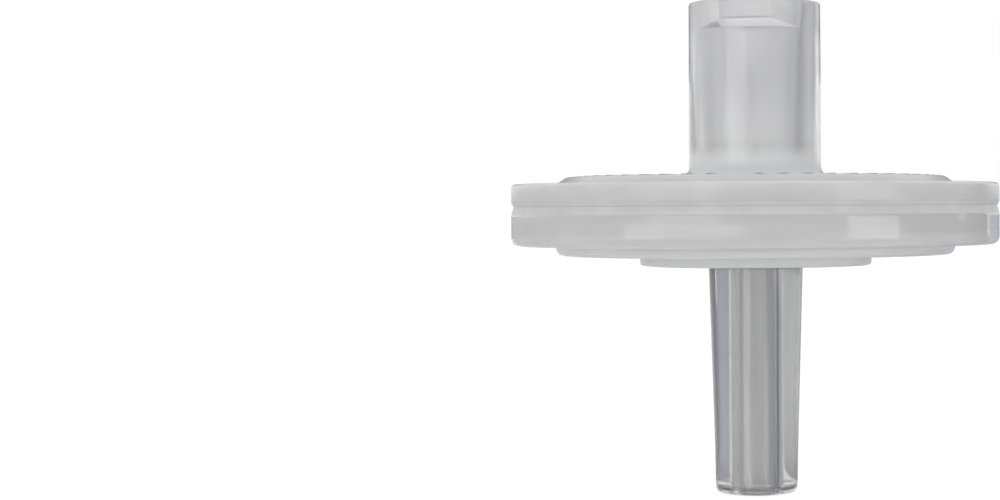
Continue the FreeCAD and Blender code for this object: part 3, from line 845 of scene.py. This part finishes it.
class FILTER_OT_inlet_shell(Operator):
    """Models the upper shell with its hub, lugs, socket, plug and round ribs"""
    bl_idname = "syringe_filter.inlet_shell"
    bl_label = "Inlet Shell"

    def execute(self, context):
        sizes, outlet = context.scene.filter_inlet, context.scene.filter_outlet
        weld, plug_face = OUTLET_HIGH.z, INLET_LOW.z
        flange_top, top = weld + sizes.flange_thickness, step_top(sizes)
        lug_foot = INLET_HIGH.z - sizes.lug_height
        hub_foot, hub_neck = sizes.hub_radius + sizes.hub_draft, neck_radius(sizes)
        loop_share = HUB_FOOT_LOOP / (lug_foot - top)
        shell = turned_solid("inlet_shell", [
            (0, plug_face, 0),
            (sizes.plug_radius, plug_face, PLUG_ROUND),
            (sizes.plug_radius, weld + WELD_GAP, 0),
            (outlet.rim_radius - outlet.groove_depth, weld + WELD_GAP, 0),
            (outlet.rim_radius, weld + outlet.groove_above, GROOVE_TOP_ROUND),
            (outlet.rim_radius, flange_top - RIM_TOP_ROUND - WALL_LOOP, 0),
            (outlet.rim_radius, flange_top, RIM_TOP_ROUND),
            (sizes.step_radius, flange_top, STEP_FOOT_ROUND),
            (sizes.step_radius - sizes.step_slope_width, top, STEP_TOP_ROUND),
            (hub_foot, top, sizes.hub_foot_round),
            (hub_foot - (hub_foot - hub_neck) * loop_share, top + HUB_FOOT_LOOP, 0),
            (hub_neck, lug_foot, 0),
            (hub_neck - HEAD_LAP, lug_foot, 0),
            (hub_neck - HEAD_LAP, lug_foot + HEAD_LAP, 0),
            (0, lug_foot + HEAD_LAP, 0),
        ], False)
        work_into(shell, lugged_head(sizes), "UNION")
        ceiling = plug_face + sizes.chamber_depth
        socket_floor = INLET_HIGH.z - sizes.socket_depth
        widening = outlet.luer_taper / 2
        spare = MM
        hollow = turned_solid("hollow", [
            (0, INLET_HIGH.z + spare, 0),
            (sizes.socket_radius + widening * spare, INLET_HIGH.z + spare, 0),
            (sizes.socket_radius - widening * sizes.socket_depth, socket_floor, SOCKET_FLOOR_ROUND),
            (sizes.port_radius, socket_floor, PORT_MOUTH_ROUND),
            (sizes.port_radius + PORT_WIDENING, ceiling, CEILING_ROUND),
            (sizes.chamber_radius, ceiling, CEILING_ROUND),
            (sizes.chamber_radius, plug_face - spare, 0),
            (0, plug_face - spare, 0),
        ], False)
        work_into(shell, hollow, "DIFFERENCE")
        bpy.ops.object.mode_set(mode="EDIT")
        pick(shell, "edges", lambda e: all(
            abs(v.co.z - INLET_HIGH.z) < NEARLY
            and abs(v.co.xy.length - sizes.socket_radius) < MOUTH_MARGIN for v in e.verts))
        round_picked(SOCKET_MOUTH_ROUND, steps=4)
        bpy.ops.object.mode_set(mode="OBJECT")
        work_into(shell, ring_ribs(context.scene.filter_ribs, ceiling), "UNION")
        finish_piece(
            shell, [satin_polypropylene(), welded_polypropylene(), drawn_polypropylene()],
            "inlet_housing")
        assign_finish(shell, 2, lambda f: f.calc_center_median().z > top + HUB_FOOT_LOOP)
        assign_finish(shell, 1, lambda f: in_weld(f, outlet))
        return {"FINISHED"}


class FILTER_OT_outlet_shell(Operator):
    """Models the lower shell with its tip, bore, steps, recess and spokes"""
    bl_idname = "syringe_filter.outlet_shell"
    bl_label = "Outlet Shell"

    def execute(self, context):
        sizes, inlet = context.scene.filter_outlet, context.scene.filter_inlet
        weld = OUTLET_HIGH.z
        underside = weld - sizes.flange_thickness
        step_face = underside - sizes.step_depth
        boss_face = step_face - sizes.boss_depth
        seat = MEMBRANE_LOW.z
        drain_floor = seat - sizes.drain_depth
        tip_root = sizes.tip_radius + sizes.luer_taper / 2 * (boss_face - OUTLET_LOW.z)
        shell = turned_solid("outlet_shell", [
            (sizes.bore_radius, OUTLET_LOW.z, BORE_MOUTH_ROUND),
            (sizes.tip_radius, OUTLET_LOW.z, TIP_END_ROUND),
            (tip_root, boss_face, TIP_ROOT_ROUND),
            (sizes.boss_radius, boss_face, BOSS_ROUND),
            (sizes.boss_radius, step_face, STEP_ROOT_ROUND),
            (inlet.step_radius, step_face, LOWER_STEP_ROUND),
            (inlet.step_radius, underside, STEP_ROOT_ROUND),
            (sizes.rim_radius, underside, sizes.flange_round),
            (sizes.rim_radius, underside + sizes.flange_round + WALL_LOOP, 0),
            (sizes.rim_radius, weld - sizes.groove_below, GROOVE_FOOT_ROUND),
            (sizes.rim_radius - sizes.groove_depth, weld, 0),
            (inlet.plug_radius + PLUG_CLEARANCE, weld, 0),
            (inlet.plug_radius + PLUG_CLEARANCE, seat, 0),
            (inlet.chamber_radius, seat, 0),
            (inlet.chamber_radius, drain_floor, DRAIN_EDGE_ROUND),
            (sizes.bore_radius, drain_floor, DRAIN_OUTLET_ROUND),
        ], True)
        work_into(shell, drain_spokes(context.scene.filter_ribs, drain_floor, seat), "UNION")
        finish_piece(
            shell, [satin_polypropylene(), welded_polypropylene(), glossy_polypropylene(),
                    clear_polypropylene()],
            "outlet_housing")
        rim_wall, tip_end = sizes.rim_radius - FINISH_MARGIN, boss_face - FINISH_MARGIN
        assign_finish(shell, 2, lambda f: f.calc_center_median().xy.length > rim_wall)
        assign_finish(shell, 3, lambda f: f.calc_center_median().z < tip_end)
        assign_finish(shell, 1, lambda f: in_weld(f, sizes))
        return {"FINISHED"}


class FILTER_OT_membrane_disc(Operator):
    """Models the round membrane that both shells clamp"""
    bl_idname = "syringe_filter.membrane_disc"
    bl_label = "Membrane Disc"

    def execute(self, context):
        radius = -MEMBRANE_LOW.x
        low, high = MEMBRANE_LOW.z + WELD_GAP, MEMBRANE_HIGH.z - WELD_GAP
        disc = turned_solid("membrane_disc", [
            (0, low, 0),
            (radius, low, MEMBRANE_ROUND),
            (radius, high, MEMBRANE_ROUND),
            (0, high, 0),
        ], False)
        finish_piece(disc, [porous_membrane()], "membrane")
        return {"FINISHED"}


class FILTER_OT_printed_ticks(Operator):
    """Models the plain ticks that are printed on the shallow step"""
    bl_idname = "syringe_filter.printed_ticks"
    bl_label = "Printed Ticks"

    def execute(self, context):
        sizes, inlet = context.scene.filter_print, context.scene.filter_inlet
        level = step_top(inlet)
        bottom, top = level - sizes.ink_height / 4, level + sizes.ink_height
        bpy.ops.object.select_all(action="DESELECT")
        bpy.ops.mesh.primitive_cube_add(
            size=1, location=(sizes.inner_radius + sizes.tick_length / 2, 0, (bottom + top) / 2),
            scale=(sizes.tick_length, sizes.tick_width, top - bottom))
        tick = begin_piece("printed_ticks")
        bpy.ops.object.mode_set(mode="EDIT")
        pick(tick, "edges", is_upright)
        round_picked(sizes.tick_width / 4, steps=3)
        bpy.ops.object.mode_set(mode="OBJECT")
        ticks = copies_round(tick, sizes.tick_count, lambda number: number % TICK_GAP_STEP == 0)
        finish_piece(ticks, [printing_ink()])
        return {"FINISHED"}


class FILTER_OT_studio(Operator):
    """Sets up the pale floor, the white backdrop, the soft lights, the bent cards and the camera"""
    bl_idname = "syringe_filter.studio"
    bl_label = "Studio"

    def execute(self, context):
        bpy.ops.object.select_all(action="DESELECT")
        bpy.ops.mesh.primitive_plane_add(size=FLOOR_SIZE, location=(0, 0, OUTLET_LOW.z))
        floor = begin_piece("floor")
        floor.data.materials.append(paper_floor())
        for soft_box in SOFT_BOXES:
            add_soft_box(*soft_box)
        for card in CARDS:
            bent_card(*card)
        white_backdrop(context.scene)
        aim_camera(context.scene)
        context.scene.view_settings.view_transform = "Standard"
        return {"FINISHED"}


def add_soft_box(name, azimuth, elevation, distance, width, height, radiance):
    """Adds an area lamp that faces the filter and is equally bright all over."""
    around, up = math.radians(azimuth) + STUDIO_TURN, math.radians(elevation)
    toward = Vector((
        math.sin(around) * math.cos(up), -math.cos(around) * math.cos(up), math.sin(up)))
    bpy.ops.object.light_add(
        type="AREA", location=Vector((0, 0, INLET_HIGH.z / 2)) + toward * distance,
        rotation=toward.to_track_quat("Z", "Y").to_euler())
    lamp = bpy.context.object
    lamp.name = name
    lamp.data.shape = "RECTANGLE"
    lamp.data.size, lamp.data.size_y = width, height
    lamp.data.energy = radiance * math.pi * width * height


def bent_card(name, colour, first, last, profile):
    """Bends a card round one side of the filter, where it shows in gloss alone."""
    card = traced_line(name, [(0, -radius, level) for radius, level in profile])
    bpy.ops.mesh.select_all(action="SELECT")
    bpy.ops.mesh.spin(
        steps=CARD_STEPS, angle=math.radians(first - last), center=(0, 0, 0), axis=(0, 0, 1))
    bpy.ops.object.mode_set(mode="OBJECT")
    card.data.transform(Matrix.Rotation(math.radians(first) + STUDIO_TURN, 4, "Z"))
    card.data.materials.append(studio_card(name, colour))
    card.visible_camera = False
    card.visible_diffuse = False
    card.visible_shadow = False


def aim_camera(scene):
    """Adds the camera, which looks level past the filter's rim."""
    across, along = (
        CAMERA_DISTANCE * math.sin(STUDIO_TURN), CAMERA_DISTANCE * math.cos(STUDIO_TURN))
    bpy.ops.object.camera_add(
        location=(across, -along, CAMERA_LEVEL), rotation=(QUARTER_TURN, CAMERA_ROLL, STUDIO_TURN))
    camera = bpy.context.object
    camera.name = "camera"
    camera.data.sensor_width = SENSOR_WIDTH
    camera.data.lens = SENSOR_WIDTH * LENS_REACH
    camera.data.shift_x, camera.data.shift_y = CAMERA_SHIFT
    camera.data.clip_start = MM
    scene.camera = camera


def seen_white(tree):
    """Gives 1 for rays from the camera, a gloss or a see-through surface, and 0 for others."""
    path = add_node(tree, "ShaderNodeLightPath", {}, {})
    sharp = add_node(tree, "ShaderNodeMath", {"operation": "MAXIMUM"}, {
        0: path.outputs["Is Glossy Ray"], 1: path.outputs["Is Transmission Ray"]})
    either = add_node(tree, "ShaderNodeMath", {"operation": "MAXIMUM"}, {
        0: path.outputs["Is Camera Ray"], 1: sharp.outputs[0]})
    return either.outputs[0]


def white_backdrop(scene):
    """Makes the world a white backdrop that lights the filter softly."""
    world = bpy.data.worlds.new("white_backdrop")
    scene.world = world
    world.use_nodes = True
    tree = world.node_tree
    level = add_node(tree, "ShaderNodeMapRange", {}, {
        "Value": seen_white(tree), "To Min": FILL_LEVEL, "To Max": 1.0})
    backdrop = tree.nodes["Background"]
    backdrop.inputs["Color"].default_value = (1, 1, 1, 1)
    tree.links.new(level.outputs["Result"], backdrop.inputs["Strength"])


def paper_floor():
    """Matt white studio paper, uncoated."""
    # It runs into the backdrop with no horizon and keeps a faint shadow of the filter.
    material = bpy.data.materials.new("matt_studio_paper")
    material.use_nodes = True
    tree = material.node_tree
    tree.nodes.clear()
    pale = add_node(tree, "ShaderNodeBsdfDiffuse", {}, {
        "Color": bpy.context.scene.filter_finish_colours.floor, "Roughness": 0.0})
    glow = add_node(tree, "ShaderNodeEmission", {}, {"Color": (1, 1, 1, 1), "Strength": FLOOR_GLOW})
    thin = add_node(tree, "ShaderNodeBsdfDiffuse", {}, {
        "Color": (FLOOR_SHADOW, FLOOR_SHADOW, FLOOR_SHADOW, 1)})
    white = add_node(tree, "ShaderNodeAddShader", {}, {0: glow.outputs[0], 1: thin.outputs[0]})
    upper = add_node(tree, "ShaderNodeMixShader", {}, {
        0: seen_white(tree), 1: pale.outputs[0], 2: white.outputs[0]})
    clear = add_node(tree, "ShaderNodeBsdfTransparent", {}, {})
    side = add_node(tree, "ShaderNodeNewGeometry", {}, {})
    sheet = add_node(tree, "ShaderNodeMixShader", {}, {
        0: side.outputs["Backfacing"], 1: upper.outputs[0], 2: clear.outputs[0]})
    add_node(tree, "ShaderNodeOutputMaterial", {}, {"Surface": sheet.outputs[0]})
    return material


def studio_card(name, colour):
    """Matt coloured card, which darkens what the filter mirrors on one side."""
    material, _, _ = new_finish(name, {"Base Color": linear(colour), "Roughness": 0.9})
    return material


PIECES = (
    FILTER_OT_inlet_shell, FILTER_OT_outlet_shell, FILTER_OT_membrane_disc, FILTER_OT_printed_ticks)
GROUPS = (
    ("filter_inlet", InletSizes, "Inlet shell"),
    ("filter_outlet", OutletSizes, "Outlet shell"),
    ("filter_ribs", RibSizes, "Ribs"),
    ("filter_print", PrintSizes, "Printed scale"),
    ("filter_finish_colours", FinishColours, "Colours"),
)


class FILTER_PT_sidebar(Panel):
    """Lists the filter's pieces, its studio and its sizes"""
    bl_label = "Syringe Filter"
    bl_space_type = "VIEW_3D"
    bl_region_type = "UI"
    bl_category = "Filter"

    def draw(self, context):
        for operator in (*PIECES, FILTER_OT_studio):
            self.layout.operator(operator.bl_idname)
        for attribute, group, title in GROUPS:
            box = self.layout.box()
            box.label(text=title)
            for name in group.__annotations__:
                box.prop(getattr(context.scene, attribute), name)


CLASSES = (*(group for _, group, _ in GROUPS), *PIECES, FILTER_OT_studio, FILTER_PT_sidebar)


def register():
    """Adds the classes and hangs the sizes and colours on the scene."""
    for entry in CLASSES:
        bpy.utils.register_class(entry)
    for attribute, group, _ in GROUPS:
        setattr(bpy.types.Scene, attribute, PointerProperty(type=group))


def unregister():
    """Takes away what register added."""
    for attribute, _, _ in GROUPS:
        delattr(bpy.types.Scene, attribute)
    for entry in reversed(CLASSES):
        bpy.utils.unregister_class(entry)


def main():
    """Makes every piece and the studio."""
    register()
    bpy.ops.syringe_filter.inlet_shell()
    bpy.ops.syringe_filter.outlet_shell()
    bpy.ops.syringe_filter.membrane_disc()
    bpy.ops.syringe_filter.printed_ticks()
    bpy.ops.syringe_filter.studio()


if __name__ == "__main__":
    main()
